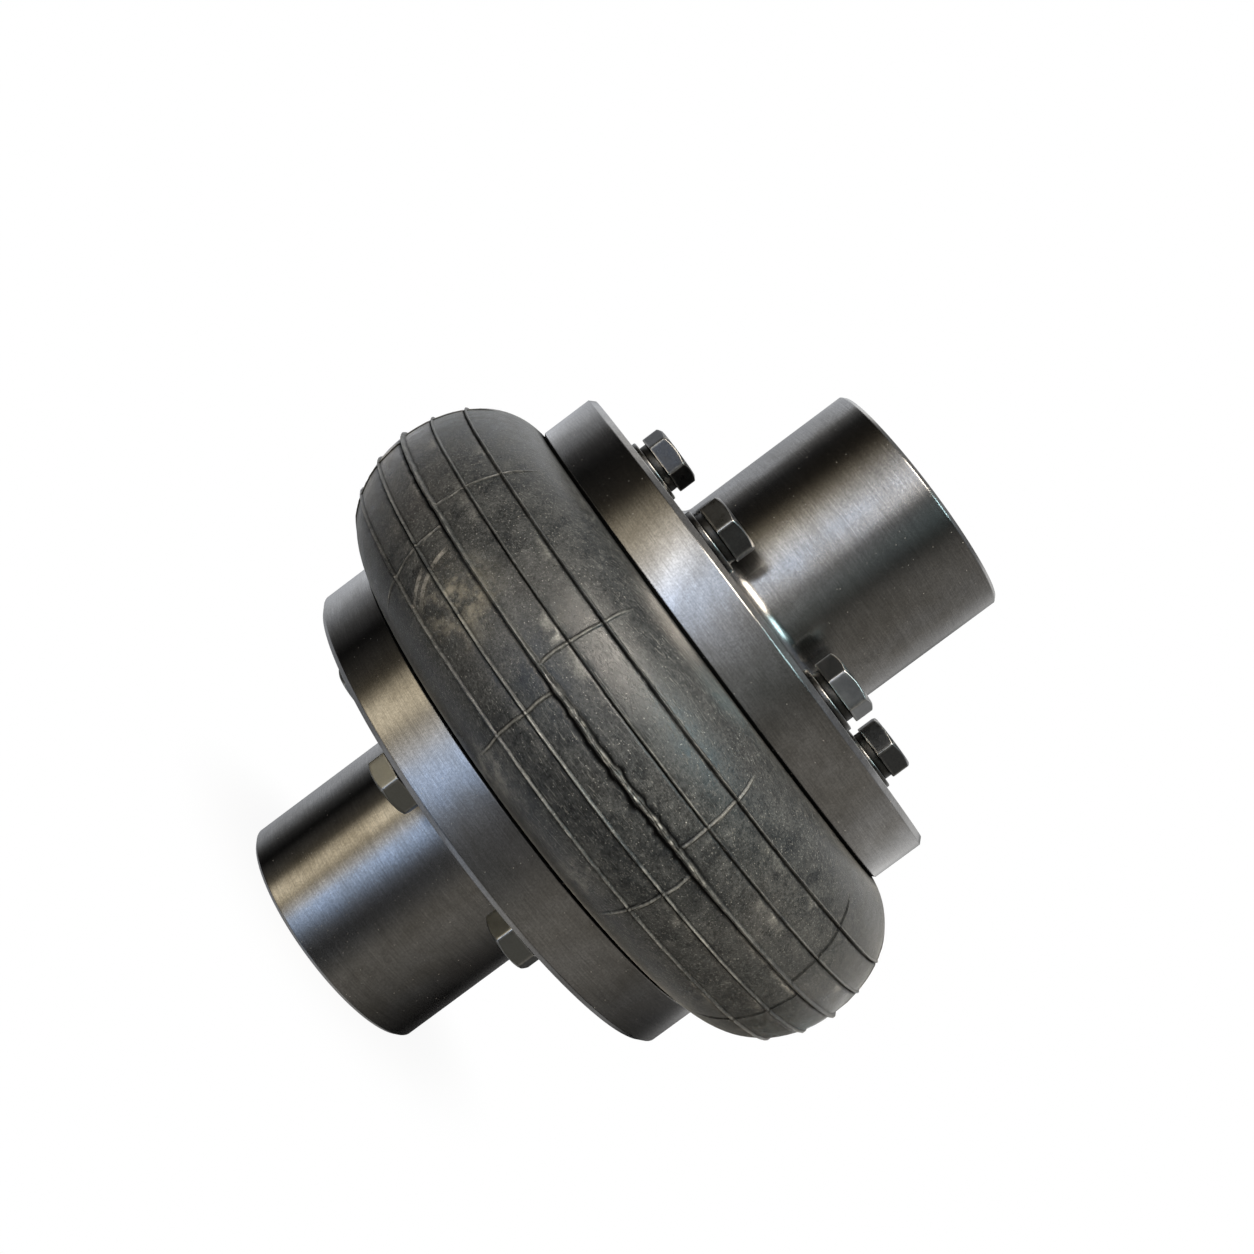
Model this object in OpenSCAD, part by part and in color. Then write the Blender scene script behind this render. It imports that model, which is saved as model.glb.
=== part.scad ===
// Tyre coupling: two flanged hubs joined by a split rubber tyre, clamped at both of its beads.
// The shaft axis is Z, and the origin lies on it at the middle of the tyre.

/* [Hubs] */
// Length over both hub ends
overall_l = 218.5; // [200:0.5:260]
// Outside diameter of each barrel
hub_d = 76; // [68:0.5:80]
// Bore for the shaft
bore_d = 42; // [28:1:46]
// Width of the keyway
key_w = 12; // [8:1:14]
// Depth of the keyway beyond the bore
key_h = 3.3; // [2.5:0.1:4]
// Chamfer at the barrel's outer end
hub_chamfer = 1; // [0.5:0.1:2]
// Chamfer at both ends of the bore
bore_chamfer = 1; // [0.5:0.1:2]
// Radius of the cove between barrel and flange
root_r = 4; // [2:0.5:5]
// Metal between the holes for the screws and the spigot that centres the clamping ring
spigot_wall = 3.5; // [2.5:0.25:5]
// Length of the spigot inside the tyre
spigot_l = 8; // [5:0.5:12]

/* [Flanges] */
// How far a flange stands out past the tyre's seat
flange_lip = 2.25; // [1:0.25:5]
// Thickness of each flange
flange_t = 18.4; // [14:0.2:24]
// Distance between the inner faces of both flanges
flange_gap = 62.8; // [58:0.2:72]
// Chamfer at the flange's outer edge
rim_chamfer = 1.6; // [0.5:0.1:3]
// Chamfer at the flange's edge beside the tyre
seam_chamfer = 0.9; // [0.3:0.1:1.5]

/* [Tyre] */
// Height of the crown above the flat seat beside the flange, without its ridges
crown_rise = 26.2; // [20:0.1:32]
// How far the crown sits from the middle towards the lower flange
crown_shift = 0.9; // [0:0.1:2]
// Width of the flat seat past the clamping ring
seat_margin = 2; // [1:0.25:4]
// Thickness of the wall beside the flange
wall_t = 7.9; // [6:0.1:9]
// Thickness of the wall at the crown
crown_t = 8.5; // [6:0.1:10]
// Radius of each rounded bead
bead_r = 6.2; // [5:0.1:6.8]
// Metal between the thread of a screw and the groove for the bead
bead_wall = 3.3; // [2.5:0.1:5]
// Height of the ridge round the middle
main_ridge_h = 1.3; // [0.8:0.1:2]
// Height of the four thinner ridges
side_ridge_h = 0.75; // [0.4:0.05:1.2]
// Spacing of the ridges along the axis
ridge_pitch = 9.4; // [8:0.1:10.5]
// Width of the split that lets the tyre be fitted
split_w = 0.8; // [0.4:0.1:2]
// Direction of the split, in degrees
split_turn = 93; // [90:1:96]

/* [Mould lines] */
// Lines across each half of the tyre
mould_lines = 12; // [6:1:12]
// Angle between neighbouring lines, in degrees
mould_pitch = 31.2; // [20:0.1:31.2]
// Middle of the upper half's lines, in degrees
upper_mould_turn = 271; // [268:0.5:274]
// Middle of the lower half's lines, in degrees
lower_mould_turn = 275; // [272:0.5:278]
// Width of a line
mould_line_w = 1.1; // [0.6:0.1:1.6]
// Height of a line
mould_line_h = 0.5; // [0.3:0.1:0.9]
// How far a line reaches from the middle, as a share of the half width
mould_share = 0.86; // [0.7:0.01:0.9]

/* [Clamping rings] */
// Lip of each ring past the groove for the bead
ring_lip = 3.3; // [2:0.1:5]
// Thickness of the ring behind the bead
ring_t = 11.5; // [10:0.5:14]
// Gap left between ring and flange when the screws are tight
ring_gap = 1.4; // [0.6:0.1:2]
// Clearance round the spigot
ring_fit = 0.3; // [0.2:0.05:0.5]
// Clearance round a bead
bead_fit = 0.2; // [0.1:0.05:0.4]

/* [Screws] */
// Screws in each flange
screw_count = 6; // [4:1:6]
// Thread diameter
screw_d = 10; // [8:1:12]
// How far the tip of a screw stays short of the clamping ring's back
tip_inset = 2; // [0.5:0.5:6]
// Width across the flats of the head
head_af = 17; // [15:0.5:18]
// Height of the head
head_h = 6.4; // [5:0.1:7]
// Difference between that width and the round face on top of the head
head_face_inset = 1; // [0.5:0.1:2]
// Clearance round a screw in the flange
hole_fit = 0.5; // [0.2:0.1:1]
// Clearance of the thread in the clamping ring
thread_fit = 0.05; // [0.03:0.01:0.1]
// Direction of the upper flange's first screw, in degrees
upper_screw_turn = 0.8; // [0:0.1:20]
// Direction of the lower flange's first screw, in degrees
lower_screw_turn = 2.5; // [0:0.1:20]

/* [Washers] */
// Outside diameter of a plain washer
washer_d = 20.5; // [18:0.5:22]
// Thickness of a plain washer
washer_t = 2; // [1:0.1:3]
// Clearance round a screw in a plain washer
washer_fit = 0.25; // [0.2:0.05:0.5]
// Distance between a plain washer and the cove
washer_gap = 1.25; // [0.5:0.25:4]
// Broken edge of a plain washer
washer_chamfer = 0.3; // [0.1:0.05:0.5]
// Width of a spring washer from its bore to its edge
spring_w = 2.85; // [2:0.05:3.5]
// Thickness of a spring washer
spring_t = 2.2; // [1.5:0.1:3]
// Clearance round a screw in a spring washer
spring_fit = 0.15; // [0.1:0.05:0.3]
// Width of the slot in a spring washer
spring_slot_w = 1; // [0.5:0.1:1.5]
// Slant of that slot, in degrees
spring_slant = 25; // [10:1:35]

/* [Set screws] */
// Thread diameter
set_d = 8; // [5:1:8]
// How far a set screw sits below the barrel's surface
set_inset = 1.1; // [0.2:0.1:3]
// Width across the flats of the socket
socket_af = 4; // [2.5:0.5:4]
// Depth of the socket
socket_h = 4; // [2:0.5:5]
// Place along the barrel from the flange, as a share of the barrel's length
set_share = 0.6; // [0.3:0.01:0.8]
// Gap between set screw and keyway
set_gap = 0.6; // [0.2:0.1:1]

/* [Hidden] */
$fn = 96;
OVERRUN = 1;
SECTION_STEPS = 36;
// Roundness of the tyre's section: 2 is an ellipse, more is squarer
SECTION_POWER = 2.06;
KEY_TURN = 90;

// Radii from the shaft outwards, each from the one inside it
bore_r = bore_d / 2;
hub_r = hub_d / 2;
screw_place_r = hub_r + root_r + washer_gap + washer_d / 2;
screw_hole_r = screw_d / 2 + hole_fit;
tapped_r = screw_d / 2 + thread_fit;
spigot_r = screw_place_r - screw_hole_r - spigot_wall;
ring_bore_r = spigot_r + ring_fit;
land_r = screw_place_r + screw_d / 2 + bead_wall;
ring_r = land_r + 2 * bead_r + ring_lip;
shoulder_r = ring_r + seat_margin;
flange_r = shoulder_r + flange_lip;
crown_r = shoulder_r + crown_rise;

// Heights from the middle of the tyre upwards
face_in = flange_gap / 2;
face_out = face_in + flange_t;
hub_end = overall_l / 2;
spigot_end = face_in - spigot_l;
clamp_z = face_in - wall_t;
ring_back = clamp_z - ring_t;
bead_c = [land_r + bead_r, face_in - wall_t / 2];
washer_top = face_out + washer_t;
spring_top = washer_top + spring_t;
mould_reach = face_in * mould_share;

screw_tip = ring_back + tip_inset;
screw_tip_chamfer = screw_d / 10;
head_r = head_af / 2 / cos(30);
head_face_r = (head_af - head_face_inset) / 2;
head_chamfer_h = (head_r - head_face_r) * tan(30);
washer_bore_r = screw_d / 2 + washer_fit;
spring_bore_r = screw_d / 2 + spring_fit;
spring_r = spring_bore_r + spring_w;

set_z = face_out + (hub_end - face_out) * set_share;
set_start = bore_r + key_h + set_gap;
set_l = hub_r - set_inset - set_start;
set_chamfer = set_d / 12;

// Direction of one corner of each head, as the screws were left when tightened
UPPER_HEAD_TURNS = [27, 40, 8, 54, 25, 3];
LOWER_HEAD_TURNS = [50, 14, 33, 5, 26, 13];
// Direction of each spring washer's slot, from the line to the shaft
SLOT_TURNS = [150, 205, 170, 240, 190, 130];

UPPER = "upper";
LOWER = "lower";
SIDES = [UPPER, LOWER];
ONE_PER_SIDE = ["hub", "clamping_ring", "set_screw"];
ONE_PER_SCREW = ["screw", "washer", "spring_washer"];

// Share of the crown's rise that is left at share x of the way from the crown to a flange
function section_share(x) = pow(1 - pow(abs(x), SECTION_POWER), 1 / SECTION_POWER);

// Distance from the crown to the upper (x > 0) or lower (x < 0) end of a section of this half width
function section_w(half_w, x) = half_w + sign(x) * crown_shift;

// Radius of the tyre's outside at a height above the crown's middle
function tyre_r(above) = shoulder_r + crown_rise * section_share(above / section_w(face_in, above));

// Outline of the rounded section, from the upper flange over the crown to the lower one
function section_arc(half_w, rise) = [
    for (i = [0 : SECTION_STEPS])
        let (x = cos(180 * i / SECTION_STEPS))
        [shoulder_r + rise * section_share(x), section_w(half_w, x) * x - crown_shift]
];

function screw_turn(side, i) = (side == UPPER ? upper_screw_turn : lower_screw_turn) + 360 * i / screw_count;
function head_turn(side, i) = (side == UPPER ? UPPER_HEAD_TURNS : LOWER_HEAD_TURNS)[i % 6];

// Turns a piece drawn for the upper side over when it belongs to the lower one
module on_side(side) {
    if (side == UPPER) children();
    else mirror([0, 0, 1]) children();
}

module at_screw(side, i) {
    rotate([0, 0, screw_turn(side, i)]) translate([screw_place_r, 0, 0]) children();
}

module at_screws(side) {
    for (i = [0 : screw_count - 1]) at_screw(side, i) children();
}

// Rectangle from one corner to the other, in radius and height
module box_2d(r0, z0, r1, z1) {
    translate([r0, z0]) square([r1 - r0, z1 - z0]);
}

// Rectangle like box_2d with its two outer corners cut by chamfers a (low) and b (high)
module turned_2d(r0, z0, r1, z1, a, b) {
    polygon([[r0, z0], [r1 - a, z0], [r1, z0 + a], [r1, z1 - b], [r1 - b, z1], [r0, z1]]);
}

// Quarter-round cove that joins barrel and flange
module cove_2d() {
    difference() {
        box_2d(hub_r - root_r, face_out - root_r, hub_r + root_r, face_out + root_r);
        translate([hub_r + root_r, face_out + root_r]) circle(root_r);
    }
}

module hub_2d() {
    difference() {
        union() {
            turned_2d(bore_r, spigot_end, spigot_r, face_out, hub_chamfer, 0);
            turned_2d(bore_r, face_in, flange_r, face_out, seam_chamfer, rim_chamfer);
            turned_2d(bore_r, face_in, hub_r, hub_end, 0, hub_chamfer);
            cove_2d();
        }
        translate(bead_c) circle(bead_r + bead_fit);
        polygon([
            [bore_r - OVERRUN, hub_end + OVERRUN],
            [bore_r + bore_chamfer + OVERRUN, hub_end + OVERRUN],
            [bore_r - OVERRUN, hub_end - bore_chamfer - OVERRUN]
        ]);
        polygon([
            [bore_r - OVERRUN, spigot_end - OVERRUN],
            [bore_r + bore_chamfer + OVERRUN, spigot_end - OVERRUN],
            [bore_r - OVERRUN, spigot_end + bore_chamfer + OVERRUN]
        ]);
    }
}

module hub(side) {
    color("#6d6b67") on_side(side) difference() {
        rotate_extrude() hub_2d();
        rotate([0, 0, KEY_TURN])
            translate([0, -key_w / 2, spigot_end - OVERRUN])
                cube([bore_r + key_h, key_w, hub_end - spigot_end + 2 * OVERRUN]);
        at_screws(side)
            translate([0, 0, face_in - OVERRUN]) cylinder(h = flange_t + 2 * OVERRUN, r = screw_hole_r);
        rotate([0, 0, KEY_TURN]) translate([bore_r, 0, set_z])
            rotate([0, 90, 0]) cylinder(h = hub_r, d = set_d + 2 * thread_fit);
    }
}

module clamping_ring(side) {
    color("#4a4a49") on_side(side) difference() {
        rotate_extrude() difference() {
            union() {
                turned_2d(ring_bore_r, ring_back, ring_r, clamp_z, hub_chamfer, seam_chamfer);
                turned_2d(ring_bore_r, ring_back, land_r, face_in - ring_gap, 0, 0);
            }
            translate(bead_c) circle(bead_r + bead_fit);
        }
        at_screws(side) translate([0, 0, ring_back - OVERRUN])
            cylinder(h = face_in - ring_back + OVERRUN, r = tapped_r);
    }
}

// Section of the tyre: the wall over the crown, both beads and the ridges
module tyre_2d() {
    difference() {
        polygon(concat(
            [[bead_c[0], face_in]],
            section_arc(face_in, crown_rise),
            [[bead_c[0], -face_in]]
        ));
        polygon(concat(
            [[bead_c[0] - OVERRUN, clamp_z]],
            section_arc(clamp_z, crown_rise - crown_t),
            [[bead_c[0] - OVERRUN, -clamp_z]]
        ));
    }
    for (s = [-1, 1]) translate([bead_c[0], s * bead_c[1]]) circle(bead_r);
    for (k = [-2 : 2]) translate([tyre_r(k * ridge_pitch), k * ridge_pitch - crown_shift])
        circle(k == 0 ? main_ridge_h : side_ridge_h, $fn = 24);
}

// Strip that follows the tyre's outside from the crown as far as reach, which is negative downwards
module mould_line_2d(reach) {
    steps = SECTION_STEPS / 2;
    heights = [for (i = [0 : steps]) reach * i / steps];
    outer = [for (above = heights) [tyre_r(above) + mould_line_h, above - crown_shift]];
    inner = [for (i = [steps : -1 : 0]) outer[i] - [2 * mould_line_h, 0]];
    polygon(concat(outer, inner));
}

module mould_lines(side) {
    middle = side == UPPER ? upper_mould_turn : lower_mould_turn;
    reach = side == UPPER ? mould_reach : -mould_reach;
    for (i = [0 : mould_lines - 1])
        rotate([0, 0, middle + mould_pitch * (i - (mould_lines - 1) / 2)])
            rotate([90, 0, 0]) linear_extrude(mould_line_w, center = true) mould_line_2d(reach);
}

module tyre() {
    color("#2f3030") difference() {
        union() {
            rotate_extrude() tyre_2d();
            for (side = SIDES) mould_lines(side);
        }
        rotate([0, 0, split_turn])
            translate([0, -split_w / 2, -face_in - bead_r])
                cube([crown_r + 2 * main_ridge_h, split_w, 2 * (face_in + bead_r)]);
    }
}

module screw(side, i) {
    color("#2a2a2b") on_side(side) at_screw(side, i) {
        rotate_extrude() turned_2d(0, screw_tip, screw_d / 2, spring_top + head_h / 2, screw_tip_chamfer, 0);
        rotate([0, 0, head_turn(side, i) - screw_turn(side, i)]) intersection() {
            translate([0, 0, spring_top]) cylinder(h = head_h, r = head_r, $fn = 6);
            rotate_extrude() polygon([
                [0, spring_top],
                [head_r + OVERRUN, spring_top],
                [head_r + OVERRUN, spring_top + head_h - head_chamfer_h - OVERRUN * tan(30)],
                [head_face_r, spring_top + head_h],
                [0, spring_top + head_h]
            ]);
        }
    }
}

module washer(side, i) {
    color("#55565a") on_side(side) at_screw(side, i) rotate_extrude()
        turned_2d(washer_bore_r, face_out, washer_d / 2, washer_top, washer_chamfer, washer_chamfer);
}

module spring_washer(side, i) {
    color("#3a3a3c") on_side(side) at_screw(side, i) difference() {
        rotate_extrude() box_2d(spring_bore_r, washer_top, spring_r, spring_top);
        rotate([0, 0, SLOT_TURNS[i % 6]]) translate([0, 0, washer_top + spring_t / 2])
            rotate([spring_slant, 0, 0]) translate([0, -spring_slot_w / 2, -spring_t])
                cube([2 * spring_r, spring_slot_w, 2 * spring_t]);
    }
}

module set_screw(side) {
    color("#2a2a2b") on_side(side) rotate([0, 0, KEY_TURN]) translate([set_start, 0, set_z])
        rotate([0, 90, 0]) difference() {
            rotate_extrude() turned_2d(0, 0, set_d / 2, set_l, set_chamfer, set_chamfer);
            translate([0, 0, set_l - socket_h])
                cylinder(h = socket_h + OVERRUN, r = socket_af / 2 / cos(30), $fn = 6);
        }
}

tyre();
for (side = SIDES) {
    hub(side);
    clamping_ring(side);
    set_screw(side);
    for (i = [1 : screw_count]) {
        screw(side, i - 1);
        washer(side, i - 1);
        spring_washer(side, i - 1);
    }
}
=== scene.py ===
"""Dresses the tyre coupling: dusty moulded rubber between turned steel hubs, with blackened screws."""

import math

import bmesh
import bpy
import numpy as np
from mathutils import Matrix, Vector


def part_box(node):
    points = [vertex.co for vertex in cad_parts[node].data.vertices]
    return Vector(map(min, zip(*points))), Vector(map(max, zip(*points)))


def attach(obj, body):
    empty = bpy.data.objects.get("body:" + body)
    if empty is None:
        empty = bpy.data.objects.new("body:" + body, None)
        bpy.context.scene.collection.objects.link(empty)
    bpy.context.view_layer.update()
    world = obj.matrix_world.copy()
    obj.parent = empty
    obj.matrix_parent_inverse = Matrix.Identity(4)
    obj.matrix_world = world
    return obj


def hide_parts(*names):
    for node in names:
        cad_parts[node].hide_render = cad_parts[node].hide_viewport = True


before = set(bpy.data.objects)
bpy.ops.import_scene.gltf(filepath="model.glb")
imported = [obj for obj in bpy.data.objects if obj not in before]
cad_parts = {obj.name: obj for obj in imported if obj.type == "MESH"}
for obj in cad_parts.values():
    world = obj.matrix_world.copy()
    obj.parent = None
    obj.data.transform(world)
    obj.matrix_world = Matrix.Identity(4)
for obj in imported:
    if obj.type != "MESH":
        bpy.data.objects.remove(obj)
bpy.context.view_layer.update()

# Units: every size below is in millimetres unless its name says degrees
MM = 0.001
SIDES = {"upper": 1, "lower": -1}
SCREW_NUMBERS = range(1, 7)
# Faces that meet at more than this are shaded with a sharp edge, and points closer than this are one
SHARP_DEG = 50
MERGE_DISTANCE = 0.001


def box_mm(node):
    """Lowest and highest corner of a CAD node, in millimetres."""
    low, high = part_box(node)
    return np.array(low) / MM, np.array(high) / MM


# Sizes read from the frame
WASHER_LOW, WASHER_HIGH = box_mm("upper_washer_1")
SPRING_LOW, SPRING_HIGH = box_mm("upper_spring_washer_1")
SCREW_LOW, SCREW_HIGH = box_mm("upper_screw_1")
HUB_END = box_mm("upper_hub")[1][2]
FACE_OUT = WASHER_LOW[2]
WASHER_TOP = WASHER_HIGH[2]
SPRING_TOP = SPRING_HIGH[2]
WASHER_R = (WASHER_HIGH[0] - WASHER_LOW[0]) / 2
SPRING_R = (SPRING_HIGH[0] - SPRING_LOW[0]) / 2

# Sizes of the tyre, as in the solids
FACE_IN = 31.4
SHOULDER_R = 79.5
CROWN_RISE = 26.2
CROWN_SHIFT = 0.9
CROWN_R = SHOULDER_R + CROWN_RISE
WALL_T = 7.9
CROWN_T = 8.5
BEAD_R = 6.2
BEAD_CENTRE_R = 68
SECTION_POWER = 2.06
RIDGE_PITCH = 9.4
MAIN_RIDGE_H = 1.3
SIDE_RIDGE_H = 0.75
MOULD_LINES = 12
MOULD_PITCH_DEG = 31.2
MOULD_MIDDLE_DEG = {"upper": 271, "lower": 275}
MOULD_REACH = 27
MOULD_LINE_H = 0.5
SPLIT_DEG = 93
SPLIT_W = 0.8
# Half width of a mould line, and how far the outside swells and sinks
MOULD_LINE_HALF_W = 0.34
UNEVENNESS = 0.09
# How finely the tyre is drawn: points up its outside, along its inner wall, round a bead and round the axis
OUTSIDE_POINTS = 47
WALL_POINTS = 13
BEAD_POINTS = 9
TURN_POINTS = 420
TORN_STEP_DEG = 0.38
# The five ridges, from the lowest to the highest: half width, how pale their tops are rubbed, how dark the
# painted shade along their upper feet is, and how many half widths below the ridge the groove and the
# painted shade of the lower foot lie
RIDGE_HALF_W = (0.3, 0.33, 0.5, 0.34, 0.32)
PALE_TOPS = (0.5, 0.85, 0.4, 0.6, 0.45)
UPPER_FEET = (0.5, 0.6, 0.3, 0, 0)
LOW_FEET = (1.5, 1.6, 1.35, 0.95, 0.95)
# The mould lines in this direction are darkened all across
DARK_LINES_DEG = 320
# The ridge tops are rubbed palest in this direction
HANDLED_DEG = 281
# Stretches over which the flash of the middle ridge is torn: middle, half length in degrees, share torn
TORN_STRETCHES = ((277, 19, 1.0), (212, 24, 0.35), (135, 18, 0.7), (38, 14, 0.6))

# Sizes of the screws and washers. The solids have no thread; diameters, bores, heads and slots are theirs
THREAD_D = 10
THREAD_PITCH = 1.5
THREAD_DEPTH = 0.765
THREAD_POINTS = 72
TIP_FACE_R = 4
# Chamfered tip and plain shank at the two ends of the thread, and the runout between thread and shank
TIP_L = 1
SHANK_L = 11
RUNOUT_L = 1
HEAD_AF = 17
HEAD_FACE_R = 8
HEAD_CHAMFER_DEG = 30
# How much each corner of a head is cut back, and how suddenly its flats turn into it
CORNER_CUT = 0.12
CORNER_SHARPNESS = 14
WASHER_BORE_R = 5.25
SPRING_BORE_R = 5.15
# Radius that rounds the washers' corners, and points round each washer
WASHER_ROUNDING = 0.45
SPRING_ROUNDING = 0.3
WASHER_POINTS = 96
SPRING_POINTS = 73
SLOT_W = 1
SLOT_SLANT_DEG = 25
HEAD_TURNS_DEG = {"upper": (27, 40, 8, 54, 25, 3), "lower": (50, 14, 33, 5, 26, 13)}
SLOT_TURNS_DEG = (150, 205, 170, 240, 190, 130)
# How far the black oxide of each screw has faded
FADING = {"upper": ("plain", "plain", "plain", "deep", "plain", "faded"), "lower": ("bare",) * 6}

# Camera, fitted to the photograph
CAMERA_PLACE = (-21.1, -527.6, 42.1)
CAMERA_TILT_DEG = 2.72
CAMERA_ROLL_DEG = 53.3
CAMERA_LENS = 50.6
SENSOR_W = 36
CLIP_START = 10

# Half width of the floor, and radius of the mirrored wall
FLOOR_HALF = 6000
WALL_R = 1600


# Shapes

def surface(name, points, material, wrap_rows=False, wrap_columns=True, ends=False, values=None):
    """Closed mesh of a grid of points in millimetres, one row after another.

    Each point is joined to the next in its row and to the same place in the next row. Wrapped ways come
    back to their start, ends closes the first and last row with one face each, and points that coincide
    at a pole are merged. values holds one number a point, kept under the name that it is given."""
    rows, columns = points.shape[:2]
    index = np.arange(rows * columns).reshape(rows, columns)
    first_row, last_row = index[0].tolist(), index[-1].tolist()
    if wrap_rows:
        index = np.vstack([index, index[:1]])
    if wrap_columns:
        index = np.hstack([index, index[:, :1]])
    quads = np.stack([index[:-1, :-1], index[1:, :-1], index[1:, 1:], index[:-1, 1:]], -1)
    faces = quads.reshape(-1, 4).tolist()
    if ends:
        faces += [first_row, last_row]
    mesh = bpy.data.meshes.new(name)
    mesh.from_pydata((points.reshape(-1, 3) * MM).tolist(), [], faces)
    for key, numbers in (values or {}).items():
        layer = mesh.attributes.new(key, "FLOAT", "POINT")
        spread = np.broadcast_to(numbers, (rows, columns)).ravel()
        layer.data.foreach_set("value", spread.astype(np.float32))
    shell = bmesh.new()
    shell.from_mesh(mesh)
    bmesh.ops.remove_doubles(shell, verts=shell.verts, dist=MM * MERGE_DISTANCE)
    bmesh.ops.recalc_face_normals(shell, faces=shell.faces)
    shell.to_mesh(mesh)
    shell.free()
    mesh.shade_smooth()
    mesh.set_sharp_from_angle(angle=math.radians(SHARP_DEG))
    mesh.materials.append(material)
    piece = bpy.data.objects.new(name, mesh)
    bpy.context.scene.collection.objects.link(piece)
    return piece


def dress(piece, node):
    """Puts a piece in place of a CAD node, riding on the one body."""
    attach(piece, "root")
    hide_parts(node)


def smooth_step(x, low, high):
    """0 below low, 1 above high, and an even S between them."""
    t = np.clip((x - low) / (high - low), 0, 1)
    return t * t * (3 - 2 * t)


def ripple(angle, waves, seed, roll=0.5):
    """Uneven line round the tyre between about -1 and 1: whole waves with random phases, weaker when
    finer."""
    rng = np.random.default_rng(seed)
    counts = np.unique(np.round(np.geomspace(waves[0], waves[1], 24)).astype(int))
    phases = rng.uniform(0, 2 * np.pi, counts.size)
    weights = (counts / counts[0]) ** -roll * rng.uniform(0.5, 1, counts.size)
    total = (weights * np.sin(angle[..., None] * counts + phases)).sum(-1)
    return total / np.sqrt((weights ** 2).sum() / 2) / 2


def section_radius(height, rise, half_w):
    """Radius of the tyre's rounded section at a height: a superellipse on each side of its crown, which
    sits a little below the middle."""
    above = height + CROWN_SHIFT
    x = np.abs(above) / (half_w + np.sign(above) * CROWN_SHIFT)
    return SHOULDER_R + rise * (1 - x ** SECTION_POWER).clip(0) ** (1 / SECTION_POWER)


def tyre_outside():
    """Radius and height of the outside from the upper flange to the lower one, dense at the ridges."""
    even = FACE_IN * np.sin(np.linspace(-np.pi / 2, np.pi / 2, OUTSIDE_POINTS))
    middles = np.arange(-2, 3) * RIDGE_PITCH - CROWN_SHIFT
    main = np.array([0, 0.2, 0.4, 0.6, 0.82, 1.08, 1.4, 1.85, 2.6])
    side = np.array([0, 0.14, 0.28, 0.43, 0.62, 0.88, 1.3])
    ridges = [middle + np.concatenate([-steps, steps]) for middle, steps in
              zip(middles, (side, side, main, side, side))]
    far = np.abs(even[:, None] - middles).min(1) > 2.4
    height = np.unique(np.concatenate([even[far], *ridges]).round(6))[::-1]
    return section_radius(height, CROWN_RISE, FACE_IN), height


def tyre_inside():
    """Radius and height of the rest of the section: down the lower flange, round its bead, along the
    inside over the crown, and round the upper bead back to the upper flange."""
    bead_z = FACE_IN - WALL_T / 2
    step = math.asin((WALL_T / 2) / BEAD_R)
    turn = np.linspace(step, 2 * np.pi - step, BEAD_POINTS)
    lower = np.stack([BEAD_CENTRE_R + BEAD_R * np.cos(turn), -bead_z - BEAD_R * np.sin(turn)], -1)
    half = FACE_IN - WALL_T
    height = half * np.sin(np.linspace(-np.pi / 2, np.pi / 2, WALL_POINTS))
    wall = np.stack([section_radius(height, CROWN_RISE - CROWN_T, half), height], -1)
    path = np.concatenate([lower, wall, lower[::-1] * (1, -1)])
    return path[:, 0], path[:, 1]


def mould_angles(side):
    """Directions of one half's mould lines."""
    steps = np.arange(MOULD_LINES) - (MOULD_LINES - 1) / 2
    return np.radians(MOULD_MIDDLE_DEG[side] + MOULD_PITCH_DEG * steps)


def tyre_angles():
    """Angles round the tyre from one face of the split to the other, denser where the flash is torn and at
    the mould lines."""
    half_gap = SPLIT_W / 2 / CROWN_R
    start = math.radians(SPLIT_DEG) + half_gap
    end = start + 2 * np.pi - 2 * half_gap
    even = np.linspace(start, end, TURN_POINTS)
    middle, half, _ = TORN_STRETCHES[0]
    torn = np.radians(np.arange(middle - half - 5, middle + half + 5, TORN_STEP_DEG))
    beside = np.array([-1.3, -0.75, -0.35, 0, 0.35, 0.75, 1.3]) / CROWN_R
    lines = [(mould_angles(side)[:, None] + beside).ravel() for side in SIDES]
    extra = (np.concatenate([torn, *lines]) - start) % (2 * np.pi) + start
    return np.unique(np.concatenate([even, extra[extra < end]]))


def torn_share(angle):
    """How torn the middle ridge's flash is, from 0 to 1: flat-topped stretches with soft ends."""
    total = np.zeros_like(angle)
    for middle, half, share in TORN_STRETCHES:
        away = (np.degrees(angle) - middle + 180) % 360 - 180
        total = np.maximum(total, share * np.exp(-(away / half) ** 4))
    return total


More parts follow.
